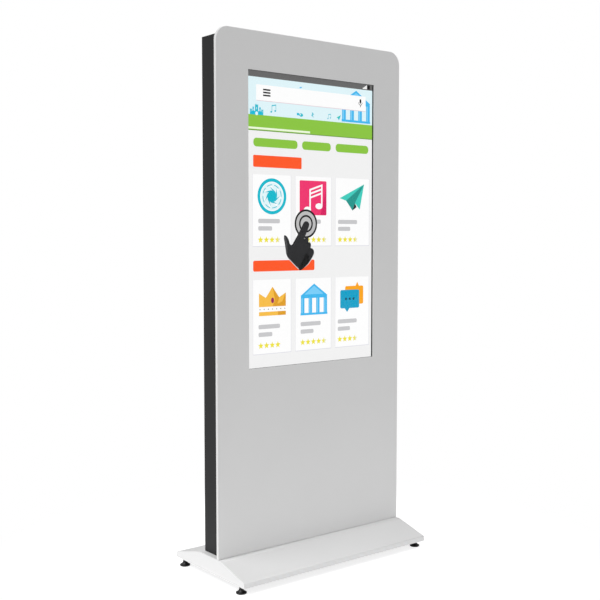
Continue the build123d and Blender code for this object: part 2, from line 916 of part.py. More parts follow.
rotor_front = fan_front + spider_thickness + hub_gap
rotor_back = fan_plate_front - hub_gap
for side, name in ((-1, "left"), (1, "right")):
    x = side * fan_spacing / 2
    with BuildPart() as fan_rotor:
        bar(facing(x, rotor_back, fan_middle), hub_radius, rotor_back - rotor_front)
        blade_middle = facing(x, (rotor_front + rotor_back) / 2, fan_middle)
        with Locations(blade_middle):
            with PolarLocations(blade_root_radius + blade_length / 2, blade_count):
                Box(blade_length, blade_thickness, blade_chord, rotation=(blade_pitch, 0, 0))
        bore_length = shaft_end + hub_gap / 2 - rotor_front
        bar(
            facing(x, shaft_end + hub_gap / 2, fan_middle),
            shaft_radius + shaft_clearance,
            bore_length,
            mode=Mode.SUBTRACT,
        )
    fan_rotor.part.label = f"fan_rotor_{name}"
    export_step(fan_rotor.part, f"parts/fan_rotor_{name}.step")

# ---------------------------------------------------------------- equipment
with BuildPart() as equipment_plate:
    block(
        (-equipment_half_width, equipment_half_width),
        (equipment_front, plate_face),
        (equipment_bottom, equipment_top),
    )
equipment_plate.part.label = "equipment_plate"
export_step(equipment_plate.part, "parts/equipment_plate.step")


def case(x, z, depth):
    """A sheet case on the equipment plate, open where the plate closes it."""
    block(x, (plate_face, plate_face + depth), z)
    block(
        (x[0] + case_sheet, x[1] - case_sheet),
        (plate_face, plate_face + depth - case_sheet),
        (z[0] + case_sheet, z[1] - case_sheet),
        mode=Mode.SUBTRACT,
    )


button_y = plate_face + pc_depth / 2
button_z = pc_z[1] - button_drop
guide_depth = button_length + button_proud
with BuildPart() as mini_pc_case:
    case(pc_x, pc_z, pc_depth)
    guide = rightward(pc_x[1] - guide_depth, button_y, button_z)
    bar(guide, button_radius + button_clearance + button_guide_wall, guide_depth)
    bar(guide, button_radius + button_clearance, guide_depth, mode=Mode.SUBTRACT)
mini_pc_case.part.label = "mini_pc_case"
export_step(mini_pc_case.part, "parts/mini_pc_case.step")

with BuildPart() as mini_pc_board:
    block(
        (pc_x[0] + case_sheet, pc_x[1] - pc_board_gap - button_drop),
        (plate_face, plate_face + pc_board_thickness),
        (pc_z[0] + case_sheet, pc_z[1] - case_sheet),
    )
mini_pc_board.part.label = "mini_pc_board"
export_step(mini_pc_board.part, "parts/mini_pc_board.step")

with BuildPart() as pc_button:
    button_start = pc_x[1] + button_proud - button_length
    button_plane = rightward(button_start, button_y, button_z)
    bar(button_plane, button_radius, button_length)
pc_button.part.label = "pc_button"
export_step(pc_button.part, "parts/pc_button.step")

with BuildPart() as power_supply:
    case(supply_x, supply_z, supply_depth)
power_supply.part.label = "power_supply"
export_step(power_supply.part, "parts/power_supply.step")

with BuildPart() as display_controller:
    case(controller_x, controller_z, controller_depth)
display_controller.part.label = "display_controller"
export_step(display_controller.part, "parts/display_controller.step")

with BuildPart() as touch_controller:
    case(touch_box_x, touch_box_z, touch_box_depth)
touch_controller.part.label = "touch_controller"
export_step(touch_controller.part, "parts/touch_controller.step")

with BuildPart() as terminal_block:
    terminal_back = plate_face + terminal_depth
    block(terminal_x, (plate_face, terminal_back), terminal_z)
    terminal_pitch = (terminal_x[1] - terminal_x[0]) / terminal_count
    terminal_middle = facing(sum(terminal_x) / 2, terminal_back, sum(terminal_z) / 2)
    with BuildSketch(terminal_middle):
        with GridLocations(terminal_pitch, 1, terminal_count, 1):
            Circle(terminal_pitch / 4)
    extrude(amount=terminal_depth / 4, mode=Mode.SUBTRACT)
terminal_block.part.label = "terminal_block"
export_step(terminal_block.part, "parts/terminal_block.step")

# ---------------------------------------------------------------- cables inside


def cable(points, radius, bend):
    """A round cable along straight runs joined by tangent arcs."""
    with BuildLine() as route:
        FilletPolyline(*points, radius=bend)
    start = route.line @ 0
    direction = route.line % 0
    with BuildSketch(Plane(origin=start, z_dir=direction)) as section:
        Circle(radius)
    sweep(section.sketch, path=route.line)


supply_entry_x = sum(supply_x) / 2
with BuildPart() as mains_cable:
    inlet_back = housing_back - inlet_depth
    run_y = plate_face + supply_depth / 2
    run_z = (port_z + equipment_bottom) / 2 + 2 * cable_bend
    cable(
        [
            (-port_spacing, inlet_back, port_z),
            (-port_spacing, run_y, port_z),
            (-port_spacing, run_y, run_z),
            (supply_entry_x, run_y, run_z),
            (supply_entry_x, run_y, supply_z[0]),
        ],
        mains_cable_radius,
        cable_bend,
    )
mains_cable.part.label = "mains_cable"
export_step(mains_cable.part, "parts/mains_cable.step")

controller_exit_x = sum(controller_x) / 2
with BuildPart() as display_cable:
    exit_y = plate_face + controller_depth / 2
    pass_y = exit_y + controller_depth
    cable(
        [
            (controller_exit_x, exit_y, controller_z[1]),
            (controller_exit_x, exit_y, controller_z[1] + 2 * cable_bend),
            (controller_exit_x, pass_y, controller_z[1] + 4 * cable_bend),
            (controller_exit_x, pass_y, glass_bottom + 4 * cable_bend),
            (controller_exit_x, module_back, glass_bottom + 4 * cable_bend),
        ],
        display_cable_radius,
        cable_bend,
    )
display_cable.part.label = "display_cable"
export_step(display_cable.part, "parts/display_cable.step")

with BuildPart() as touch_cable:
    touch_exit_y = plate_face + touch_box_depth / 2
    touch_exit_z = sum(touch_box_z) / 2
    glass_middle = (glass_front + glass_back) / 2
    cable(
        [
            (touch_box_x[1], touch_exit_y, touch_exit_z),
            (touch_cable_x, touch_exit_y, touch_exit_z),
            (touch_cable_x, touch_exit_y, equipment_top + 2 * cable_bend),
            (touch_cable_x, glass_middle, equipment_top + 2 * cable_bend),
            (touch_cable_x, glass_middle, glass_bottom),
        ],
        touch_cable_radius,
        cable_bend,
    )
touch_cable.part.label = "touch_cable"
export_step(touch_cable.part, "parts/touch_cable.step")

# ---------------------------------------------------------------- base


def arch_outline():
    """The base seen from its end: a lip, a slope, the flat crown, a slope and a lip."""
    half = base_depth / 2
    with BuildLine() as outline:
        Polyline(
            (-half, base_bottom),
            (-half, base_bottom + base_lip_height),
            (crown_front, crown),
            (crown_rear, crown),
            (half, base_bottom + base_lip_height),
            (half, base_bottom),
            close=True,
        )
    make_face(outline.edges())
    fillet(vertices().group_by(Axis.Y)[-1], base_bend_radius)
    fillet(vertices().group_by(Axis.Y)[1], base_lip_radius)


with BuildPart() as base_cover:
    with BuildSketch(Plane.YZ.offset(-base_inner_half)):
        arch_outline()
    extrude(amount=2 * base_inner_half)
    openings = base_cover.faces().sort_by(Axis.X)
    underside = base_cover.faces().sort_by(Axis.Z)[0]
    offset(amount=-base_sheet, openings=[openings[0], openings[-1], underside])
    for side in (-1, 1):
        for y in (-bolt_spacing / 2, bolt_spacing / 2):
            bar(
                upward(side * bolt_x, y, crown_under),
                bolt_hole_radius,
                base_sheet,
                mode=Mode.SUBTRACT,
            )
base_cover.part.label = "base_cover"
export_step(base_cover.part, "parts/base_cover.step")

with BuildPart() as base_ends:
    for start in (-base_half, base_inner_half):
        with BuildSketch(Plane.YZ.offset(start)):
            arch_outline()
        extrude(amount=end_plate_thickness)
base_ends.part.label = "base_ends"
export_step(base_ends.part, "parts/base_ends.step")

foot_places = {
    "front_left": (-foot_x, -foot_y),
    "front_right": (foot_x, -foot_y),
    "rear_left": (-foot_x, foot_y),
    "rear_right": (foot_x, foot_y),
}
base_bolt_places = [(side * bolt_x, y) for side in (-1, 1) for y in (-bolt_spacing / 2, bolt_spacing / 2)]
with BuildPart() as base_plate:
    plate_half_y = base_depth / 2 - base_sheet
    block(
        (-base_inner_half, base_inner_half),
        (-plate_half_y, plate_half_y),
        (plate_bottom, plate_top),
    )
    with BuildSketch(Plane.XY.offset(plate_bottom)):
        with Locations(*foot_places.values(), *base_bolt_places):
            Circle(bolt_hole_radius)
        with GridLocations(plinth_hole_spacing_x, plinth_hole_spacing_y, 2, 2):
            Circle(bolt_hole_radius)
    extrude(amount=base_plate_thickness, mode=Mode.SUBTRACT)
base_plate.part.label = "base_plate"
export_step(base_plate.part, "parts/base_plate.step")

with BuildPart() as base_risers:
    for side in (-1, 1):
        block(
            (side * foot_plate_inner, side * housing_inner),
            (-foot_plate_size / 2, foot_plate_size / 2),
            (plate_top, crown_under),
        )
        block(
            (side * (foot_plate_inner + riser_wall), side * (housing_inner - riser_wall)),
            (-foot_plate_size / 2 + riser_wall, foot_plate_size / 2 - riser_wall),
            (plate_top, crown_under),
            mode=Mode.SUBTRACT,
        )
base_risers.part.label = "base_risers"
export_step(base_risers.part, "parts/base_risers.step")

with BuildPart() as base_bolts:
    bolt_seat = floor_top + foot_plate_thickness
    for x, y in base_bolt_places:
        nut(upward(x, y, bolt_seat), bolt_head_flats, bolt_head_height, 0)
        bar(upward(x, y, plate_bottom), bolt_radius, bolt_seat - plate_bottom)
base_bolts.part.label = "base_bolts"
export_step(base_bolts.part, "parts/base_bolts.step")

with BuildPart() as base_nuts:
    for x, y in [*foot_places.values(), *base_bolt_places]:
        nut(
            upward(x, y, plate_top).rotated((0, 0, nut_turn)),
            nut_flats,
            nut_height,
            nut_bore_radius,
        )
base_nuts.part.label = "base_nuts"
export_step(base_nuts.part, "parts/base_nuts.step")

# ---------------------------------------------------------------- levelling feet
for corner, (x, y) in foot_places.items():
    with BuildPart() as foot:
        with BuildSketch(facing(x, y, 0)):
            with BuildLine():
                flare_start = (pad_radius - pad_ledge, pad_edge + pad_chamfer)
                flare_middle = (cone_sag_radius, cone_waist_height / 2)
                waist = (cone_waist_radius, cone_waist_height)
                stop = plate_bottom - foot_stop_gap
                Polyline(
                    waist,
                    (cone_top_radius, stop),
                    (bolt_radius, stop),
                    (bolt_radius, foot_stud_height - pad_chamfer),
                    (bolt_radius - pad_chamfer, foot_stud_height),
                    (0, foot_stud_height),
                    (0, 0),
                    (pad_radius - pad_chamfer, 0),
                    (pad_radius, pad_chamfer),
                    (pad_radius, pad_edge),
                    flare_start,
                )
                ThreePointArc(flare_start, flare_middle, waist)
            make_face()
        revolve(axis=Axis((x, y, 0), (0, 0, 1)))
    foot.part.label = f"foot_{corner}"
    export_step(foot.part, f"parts/foot_{corner}.step")
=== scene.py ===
import json
import math

import bmesh
import bpy
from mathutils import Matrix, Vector
from mathutils.bvhtree import BVHTree


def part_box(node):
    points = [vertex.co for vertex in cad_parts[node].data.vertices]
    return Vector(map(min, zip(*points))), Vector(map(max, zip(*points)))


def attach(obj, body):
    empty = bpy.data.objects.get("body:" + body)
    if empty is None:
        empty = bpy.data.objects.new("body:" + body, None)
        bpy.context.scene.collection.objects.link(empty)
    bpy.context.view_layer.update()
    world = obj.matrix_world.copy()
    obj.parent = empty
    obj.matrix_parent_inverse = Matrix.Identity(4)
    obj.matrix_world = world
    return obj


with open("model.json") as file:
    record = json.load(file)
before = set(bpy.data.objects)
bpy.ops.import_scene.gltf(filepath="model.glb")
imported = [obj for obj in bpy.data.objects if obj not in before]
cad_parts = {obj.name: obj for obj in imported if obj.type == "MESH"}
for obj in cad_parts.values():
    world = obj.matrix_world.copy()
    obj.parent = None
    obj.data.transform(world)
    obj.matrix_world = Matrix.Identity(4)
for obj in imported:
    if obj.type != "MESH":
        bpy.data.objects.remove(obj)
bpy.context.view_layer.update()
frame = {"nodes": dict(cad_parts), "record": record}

# Touchscreen kiosk. The frame's own axes: the screen faces -Y and +Z is up. Places are in metres.

nodes = frame["nodes"]
MM = 0.001

# ---------------------------------------------------------------- camera
CAMERA_PLACE = (-2.059, -2.587, 1.0946)
CAMERA_YAW = 38.32
CAMERA_PITCH = 3.76
CAMERA_LENS = 58.95

camera = bpy.data.objects.new("camera", bpy.data.cameras.new("camera"))
bpy.context.scene.collection.objects.link(camera)
camera.location = CAMERA_PLACE
camera.rotation_euler = (math.radians(90 - CAMERA_PITCH), 0, -math.radians(CAMERA_YAW))
camera.data.lens = CAMERA_LENS
camera.data.sensor_width = 36
bpy.context.scene.camera = camera

# ---------------------------------------------------------------- light and floor
WORLD_LIGHT = 0.44
SUN_STRENGTH = 1.95
SUN_SOFTNESS = 50
SUN_TOWARDS = (0.47, 0.06, -0.62)
FLOOR_RADIUS = 14.0
FLOOR_GREY = (0.62, 0.62, 0.62, 1)
FLOOR_GLOW = 0.50
FLOOR_GLOW_SEEN = 0.80
FLOOR_BOUNCE = 0.72
FADE_START = 0.45
FADE_END = 1.1

bpy.context.scene.view_settings.view_transform = "Standard"


def link(tree, output, socket):
    tree.links.new(output, socket)


def set_strength(tree, socket, lighting, seen):
    """A light's strength: one value for what it lights, another for how bright it looks."""
    rays = tree.nodes.new("ShaderNodeLightPath")
    level = tree.nodes.new("ShaderNodeMapRange")
    level.inputs["To Min"].default_value = lighting
    level.inputs["To Max"].default_value = seen
    link(tree, rays.outputs["Is Camera Ray"], level.inputs["Value"])
    link(tree, level.outputs["Result"], socket)


world = bpy.data.worlds.new("studio")
world.use_nodes = True
bpy.context.scene.world = world
tree = world.node_tree
background = tree.nodes["Background"]
background.inputs["Color"].default_value = (1, 1, 1, 1)
set_strength(tree, background.inputs["Strength"], WORLD_LIGHT, 1.0)

sun = bpy.data.objects.new("key_light", bpy.data.lights.new("key_light", "SUN"))
sun.data.energy = SUN_STRENGTH
sun.data.angle = math.radians(SUN_SOFTNESS)
sun.rotation_mode = "QUATERNION"
sun.rotation_quaternion = Vector(SUN_TOWARDS).to_track_quat("-Z", "Y")
bpy.context.scene.collection.objects.link(sun)


def new_object(name, mesh):
    """An object for the mesh, in the scene."""
    piece = bpy.data.objects.new(name, mesh)
    bpy.context.scene.collection.objects.link(piece)
    return piece


def pale_floor():
    """A round pale floor that brightens to white away from the kiosk."""
    shape = bmesh.new()
    bmesh.ops.create_circle(shape, cap_ends=True, segments=96, radius=FLOOR_RADIUS)
    mesh = bpy.data.meshes.new("floor")
    shape.to_mesh(mesh)
    shape.free()
    floor = new_object("floor", mesh)
    material = bpy.data.materials.new("floor")
    material.use_nodes = True
    floor_tree = material.node_tree
    surface = floor_tree.nodes["Principled BSDF"]
    surface.inputs["Base Color"].default_value = FLOOR_GREY
    surface.inputs["Roughness"].default_value = 0.9
    surface.inputs["Emission Color"].default_value = (1, 1, 1, 1)
    set_strength(floor_tree, surface.inputs["Emission Strength"], FLOOR_GLOW, FLOOR_GLOW_SEEN)
    white = floor_tree.nodes.new("ShaderNodeEmission")
    set_strength(floor_tree, white.inputs["Strength"], FLOOR_BOUNCE, 1.0)
    place = floor_tree.nodes.new("ShaderNodeTexCoord")
    length = floor_tree.nodes.new("ShaderNodeVectorMath")
    length.operation = "LENGTH"
    fade = floor_tree.nodes.new("ShaderNodeMapRange")
    fade.interpolation_type = "SMOOTHSTEP"
    fade.inputs["From Min"].default_value = FADE_START
    fade.inputs["From Max"].default_value = FADE_END
    mix = floor_tree.nodes.new("ShaderNodeMixShader")
    link(floor_tree, place.outputs["Object"], length.inputs[0])
    link(floor_tree, length.outputs["Value"], fade.inputs["Value"])
    link(floor_tree, fade.outputs["Result"], mix.inputs[0])
    link(floor_tree, surface.outputs[0], mix.inputs[1])
    link(floor_tree, white.outputs[0], mix.inputs[2])
    material_output = floor_tree.nodes["Material Output"]
    link(floor_tree, mix.outputs[0], material_output.inputs["Surface"])
    mesh.materials.append(material)


pale_floor()


# ---------------------------------------------------------------- materials
def linear(red, green, blue):
    """A colour given as it looks on a display, 0 to 255, as linear light."""

    def channel(value):
        share = value / 255
        return share / 12.92 if share <= 0.04045 else ((share + 0.055) / 1.055) ** 2.4

    return (channel(red), channel(green), channel(blue), 1)


def surface_material(
    name,
    colour,
    roughness,
    metallic=0.0,
    grain=900.0,
    grain_depth=0.00002,
    blotch=3.0,
    variation=0.04,
    spread=0.08,
    stretch=(1, 1, 1),
    coat=0.0,
    specular=0.5,
    voronoi=False,
):
    """A surface with fine relief, slow changes of tone, and a gloss that varies with the relief."""
    material = bpy.data.materials.new(name)
    material.use_nodes = True
    tree = material.node_tree
    shader = tree.nodes["Principled BSDF"]
    shader.inputs["Metallic"].default_value = metallic
    shader.inputs["Specular IOR Level"].default_value = specular
    shader.inputs["Coat Weight"].default_value = coat
    shader.inputs["Coat Roughness"].default_value = 0.15
    place = tree.nodes.new("ShaderNodeTexCoord")
    scale = tree.nodes.new("ShaderNodeVectorMath")
    scale.operation = "MULTIPLY"
    scale.inputs[1].default_value = stretch
    link(tree, place.outputs["Object"], scale.inputs[0])

    tone = tree.nodes.new("ShaderNodeTexNoise")
    tone.inputs["Scale"].default_value = blotch
    tone.inputs["Detail"].default_value = 5
    link(tree, place.outputs["Object"], tone.inputs["Vector"])
    ramp = tree.nodes.new("ShaderNodeValToRGB")
    ramp.color_ramp.elements[0].position = 0.3
    ramp.color_ramp.elements[1].position = 0.7
    ramp.color_ramp.elements[0].color = (*[c * (1 - variation) for c in colour[:3]], 1)
    ramp.color_ramp.elements[1].color = (*[min(1, c * (1 + variation)) for c in colour[:3]], 1)
    link(tree, tone.outputs["Fac"], ramp.inputs["Fac"])
    link(tree, ramp.outputs["Color"], shader.inputs["Base Color"])

    kind = "ShaderNodeTexVoronoi" if voronoi else "ShaderNodeTexNoise"
    fine = tree.nodes.new(kind)
    fine.inputs["Scale"].default_value = grain
    height = fine.outputs["Distance" if voronoi else "Fac"]
    link(tree, scale.outputs["Vector"], fine.inputs["Vector"])
    bump = tree.nodes.new("ShaderNodeBump")
    bump.inputs["Distance"].default_value = grain_depth
    bump.inputs["Strength"].default_value = 0.6
    link(tree, height, bump.inputs["Height"])
    link(tree, bump.outputs["Normal"], shader.inputs["Normal"])

    gloss = tree.nodes.new("ShaderNodeMapRange")
    gloss.inputs["From Min"].default_value = 0.2
    gloss.inputs["From Max"].default_value = 0.8
    gloss.inputs["To Min"].default_value = max(0.02, roughness - spread)
    gloss.inputs["To Max"].default_value = min(1, roughness + spread)
    link(tree, height, gloss.inputs["Value"])
    link(tree, gloss.outputs["Result"], shader.inputs["Roughness"])
    return material


def glass_material():
    """Clear toughened glass with the faintest haze of fingerprints."""
    material = surface_material(
        "screen_glass", (1, 1, 1, 1), 0.03,
        grain=25, grain_depth=0.0, blotch=6, variation=0.0, spread=0.02,
    )
    shader = material.node_tree.nodes["Principled BSDF"]
    shader.inputs["Transmission Weight"].default_value = 1.0
    shader.inputs["IOR"].default_value = 1.22
    return material


WHITE_COAT = (0.80, 0.80, 0.80, 1)
CHARCOAL = (0.0165, 0.0165, 0.0172, 1)

finishes = {
    "panel_white": surface_material("panel_white", WHITE_COAT, 0.42, grain=1400, variation=0.012),
    "housing_charcoal": surface_material(
        "housing_charcoal", CHARCOAL, 0.52, grain=1800, grain_depth=0.00004, specular=0.28
    ),
    "frame_black": surface_material(
        "frame_black", (0.011, 0.011, 0.012, 1), 0.5, grain=2500, voronoi=True
    ),
    "screen_glass": glass_material(),
    "screen_image": surface_material("screen_image", (0.02, 0.02, 0.022, 1), 0.3, grain=3000),
    "light_guide": surface_material(
        "light_guide", (0.74, 0.77, 0.80, 1), 0.22, grain=500, variation=0.03
    ),
    "gasket_foam": surface_material(
        "gasket_foam", (0.02, 0.02, 0.02, 1), 0.85, grain=1600, grain_depth=0.0002
    ),
    "zinc_sheet": surface_material(
        "zinc_sheet", (0.50, 0.51, 0.53, 1), 0.42, metallic=1, grain=170, grain_depth=0.000008,
        blotch=70, variation=0.09, spread=0.07, voronoi=True,
    ),
    "frame_steel": surface_material("frame_steel", (0.035, 0.036, 0.04, 1), 0.4, grain=1200),
    "fastener_steel": surface_material(
        "fastener_steel", (0.60, 0.60, 0.58, 1), 0.3,
        metallic=1, grain=500, blotch=60, variation=0.1,
    ),
    "lock_chrome": surface_material(
        "lock_chrome", (0.72, 0.72, 0.74, 1), 0.12,
        metallic=1, grain=300, grain_depth=0.000004, spread=0.05,
    ),
    "contact_brass": surface_material(
        "contact_brass", (0.60, 0.42, 0.16, 1), 0.28, metallic=1, grain=700
    ),
    "board_green": surface_material(
        "board_green", (0.01, 0.09, 0.035, 1), 0.35, grain=400, coat=0.4
    ),
    "filter_foam": surface_material(
        "filter_foam", (0.018, 0.018, 0.018, 1), 0.95, grain=700, grain_depth=0.0015, voronoi=True
    ),
    "cable_black": surface_material("cable_black", (0.012, 0.012, 0.013, 1), 0.45, grain=900),
    "foot_black": surface_material(
        "foot_black", (0.006, 0.006, 0.0065, 1), 0.42, grain=2200, voronoi=True
    ),
    "fan_black": surface_material("fan_black", (0.014, 0.014, 0.015, 1), 0.4, grain=1500),
    "case_aluminium": surface_material(
        "case_aluminium", (0.36, 0.37, 0.39, 1), 0.36,
        metallic=1, grain=900, stretch=(0.06, 1, 1), spread=0.1,
    ),
    "button_grey": surface_material("button_grey", (0.20, 0.21, 0.22, 1), 0.5, grain=1800),
}

# Pieces of zinc-plated sheet that are rolled, pressed or brushed in their own way
own_finishes = {
    "lcd_back_cover": surface_material(
        "pressed_zinc", (0.70, 0.71, 0.72, 1), 0.33,
        metallic=1, grain=1300, stretch=(1, 1, 0.05), spread=0.09,
    ),
    "power_supply": surface_material(
        "brushed_steel", (0.33, 0.34, 0.36, 1), 0.30,
        metallic=1, grain=1500, stretch=(0.05, 1, 1), spread=0.1,
    ),
    "display_controller": surface_material(
        "lacquered_steel", (0.13, 0.14, 0.16, 1), 0.38, metallic=0.6, grain=1700, spread=0.06
    ),
    "door_stiffeners": surface_material(
        "rolled_zinc", (0.40, 0.41, 0.42, 1), 0.40,
        metallic=1, grain=1100, stretch=(1, 1, 0.06), spread=0.08,
    ),
}

mark_white = surface_material("mark_white", (0.75, 0.75, 0.75, 1), 0.5, grain=1500)

EDGE_ROUND = {
    "front_panel": 0.0005,
    "base_cover": 0.0006,
    "base_ends": 0.0007,
    "side_panel_left": 0.0004,
    "side_panel_right": 0.0004,
    "top_cover": 0.0004,
    "connection_panel": 0.0004,
    "window_frame": 0.0003,
    "mains_inlet": 0.0003,
    "switch_body": 0.0003,
    "switch_rocker": 0.0003,
    "network_port": 0.0002,
}


def finish_cad_nodes():
    """Every CAD node gets its slot's material, and the folded sheets a fine edge round."""
    slots = {row["node"]: row["material_slot"] for row in frame["record"]["subparts"]}
    for name, piece in nodes.items():
        for index in range(len(piece.material_slots)):
            piece.material_slots[index].material = own_finishes.get(name, finishes[slots[name]])
        if name in EDGE_ROUND:
            weld = piece.modifiers.new("weld", "WELD")
            weld.merge_threshold = 0.00001
            bevel = piece.modifiers.new("edge", "BEVEL")
            bevel.width = EDGE_ROUND[name]
            bevel.segments = 2
            bevel.limit_method = "ANGLE"
            bevel.angle_limit = math.radians(50)
            bevel.harden_normals = True


finish_cad_nodes()

# ---------------------------------------------------------------- what the screen shows
# The page is laid out in millimetres from the lower left corner of the screen window.
GLASS_OVERLAP = 15
LAYER_STEP = 0.10
LAYER_THICKNESS = 0.06
PAGE_GAP = 1.6
SCREEN_GLOW = 0.98

glass_low, glass_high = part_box("touch_glass")
window_left = glass_low.x / MM + GLASS_OVERLAP
window_bottom = glass_low.z / MM + GLASS_OVERLAP
page_width = (glass_high.x - glass_low.x) / MM - 2 * GLASS_OVERLAP
page_height = (glass_high.z - glass_low.z) / MM - 2 * GLASS_OVERLAP
page_front = glass_high.y / MM + PAGE_GAP

ink = {
    "page": (243, 243, 243),
    "white": (255, 255, 255),
    "shade": (222, 222, 230),
    "status": (102, 102, 102),
    "sky": (225, 246, 251),
    "dark": (38, 38, 40),
    "black": (8, 8, 9),
    "mid_grey": (190, 190, 190),
    "text_bar": (201, 201, 203),
    "green": (139, 198, 63),
    "dark_green": (98, 146, 44),
    "pale_green": (240, 252, 222),
    "orange": (255, 87, 34),
    "teal": (4, 186, 206),
    "cyan": (11, 187, 216),
    "pale_blue": (122, 207, 250),
    "sky_blue": (62, 184, 240),
    "pink": (240, 50, 110),
    "deep_pink": (216, 27, 96),
    "plane_dark": (32, 150, 140),
    "plane_light": (62, 205, 190),
    "gold": (248, 190, 68),
    "deep_gold": (224, 158, 30),
    "ruby": (150, 30, 90),
    "amber": (252, 166, 14),
    "petrol": (0, 160, 200),
    "deep_petrol": (2, 70, 92),
    "star": (240, 228, 60),
    "pale_star": (232, 230, 176),
    "ice": (226, 247, 251),
    "blush": (226, 206, 214),
    "soft_shade": (214, 214, 216),
    "mid_shade": (176, 176, 178),
    "grey_edge": (74, 74, 76),
}
drawn = {colour: bmesh.new() for colour in ink}


def place_on_page(x, z, layer):
    """The point of the frame, in metres, for a point of the page on one of its layers."""
    return Vector(
        ((window_left + x) * MM, (page_front - layer * LAYER_STEP) * MM, (window_bottom + z) * MM)
    )


def draw(colour, outline, layer):
    """A thin plate with this outline on a layer of the page. Layer 0 is the furthest back."""
    shape = drawn[colour]
    lift = Vector((0, LAYER_THICKNESS * MM, 0))
    front = [shape.verts.new(place_on_page(x, z, layer)) for x, z in outline]
    back = [shape.verts.new(vertex.co + lift) for vertex in front]
    shape.faces.new(front)
    shape.faces.new(list(reversed(back)))
    for k in range(len(front)):
        after = (k + 1) % len(front)
        shape.faces.new((front[k], back[k], back[after], front[after]))


def rectangle(left, right, low, high, radius=0, steps=6):
    """A rectangle's outline, with round corners if it has a radius."""
    if not radius:
        return [(left, low), (right, low), (right, high), (left, high)]
    corners = (
        (right - radius, high - radius, 0),
        (left + radius, high - radius, 90),
        (left + radius, low + radius, 180),
        (right - radius, low + radius, 270),
    )
    points = []
    for x, z, start in corners:
        for k in range(steps + 1):
            turn = math.radians(start + 90 * k / steps)
            points.append((x + radius * math.cos(turn), z + radius * math.sin(turn)))
    return points


def oval(x, z, across, up, count=48):
    """An ellipse's outline from its centre and its two radii."""
    turns = [2 * math.pi * k / count for k in range(count)]
    return [(x + across * math.cos(turn), z + up * math.sin(turn)) for turn in turns]


def ring(colour, x, z, outer, inner, layer, count=64):
    """A ring, as a band of short thin plates that share their corners."""
    shape = drawn[colour]
    lift = Vector((0, LAYER_THICKNESS * MM, 0))
    circles = []
    for radius in (outer, inner):
        for offset in (Vector((0, 0, 0)), lift):
            places = [place_on_page(*point, layer) for point in oval(x, z, radius, radius, count)]
            circles.append([shape.verts.new(place + offset) for place in places])
    outer_front, outer_back, inner_front, inner_back = circles
    for k in range(count):
        after = (k + 1) % count
        bands = (
            (outer_front, inner_front),
            (inner_front, inner_back),
            (inner_back, outer_back),
            (outer_back, outer_front),
        )
        for one, other in bands:
            shape.faces.new((one[k], other[k], other[after], one[after]))


def star(x, z, radius, corners=range(10)):
    """A five-pointed star's outline, or a part of it between two of its ten corners."""
    points = []
    for k in corners:
        reach = radius if k % 2 == 0 else radius * 0.45
        turn = math.pi / 2 + math.pi * k / 5
        points.append((x + reach * math.cos(turn), z + reach * math.sin(turn)))
    return points


def smooth(points, rounds=2):
    """The outline with its corners cut a few times, so that it reads as a curve."""
    for _ in range(rounds):
        cut = []
        for (x0, z0), (x1, z1) in zip(points, points[1:] + points[:1]):
            cut.append((x0 * 0.75 + x1 * 0.25, z0 * 0.75 + z1 * 0.25))
            cut.append((x0 * 0.25 + x1 * 0.75, z0 * 0.25 + z1 * 0.75))
        points = cut
    return points


def shifted(points, across, up):
    return [(x + across, z + up) for x, z in points]


# Rows and columns of the page
MARGIN = 22
CARD_WIDTH = 152
CARD_PITCH = 171.6
UPPER_CARDS = (390, 617.5)
LOWER_CARDS = (44, 282)
STATUS_LOW = 922
BAND = (757, 804)
ICON_INSET = 21
STAR_RADIUS = 11.5


def card_left(column):
    return MARGIN + column * CARD_PITCH


def page_header():
    """Status bar, sky with a small skyline and a museum front, search bar and tab band."""
    draw("page", rectangle(0, page_width, 0, page_height), 0)
    draw("sky", rectangle(0, page_width, BAND[1], STATUS_LOW), 1)
    draw("status", rectangle(0, page_width, STATUS_LOW, page_height), 1)
    for k, height in enumerate((4, 7, 10, 13)):
        draw("white", rectangle(486 + 5 * k, 490 + 5 * k, 925, 925 + height), 2)
    draw("black", rectangle(507, 519, 925, 939), 2)
    draw_museum(456, 808, 130, 108, 1.5)
    draw("blush", rectangle(37, 499, 848, 852), 6)
    draw("white", rectangle(36, 499, 850, 899, 1.5), 7)
    for low in (864, 873, 882):
        draw("black", rectangle(63, 92, low, low + 5), 8)
    ring("dark", 475, 877, 9, 7, 8, 24)
    draw("white", rectangle(465, 485, 877.5, 887), 8.4)
    draw("dark", rectangle(471, 479, 874, 889, 3.9), 8.8)
    draw("dark", rectangle(473.6, 476.4, 862, 869), 8)
    draw("sky_blue", [(209, 903), (216, 902), (222, 907), (213, 906)], 2)
    draw_castle(12, BAND[1])
    draw_note(106, 817, 21, "teal", 2)
    draw("cyan", rectangle(199, 209, 814, 822, 3), 2)
    draw("teal", oval(217, 816, 8, 5.5, 20), 2)
    draw("sky", oval(214, 817, 2.5, 2, 12), 3)
    draw("teal", [(262, 830), (271, 822), (265, 820), (270, 811), (259, 819), (264, 822)], 2)
    draw_note(338, 813, 14, "teal", 2)
    draw("plane_light", [(388, 829), (368, 819), (375, 817)], 2)
    draw("teal", [(388, 829), (375, 817), (379, 810)], 2)
    draw("green", rectangle(0, page_width, *BAND), 3.5)
    draw("dark_green", rectangle(0, page_width, BAND[0] - 2.5, BAND[0]), 2)
    draw("pale_green", rectangle(0, 254, BAND[0] + 2, BAND[0] + 8.5), 5)


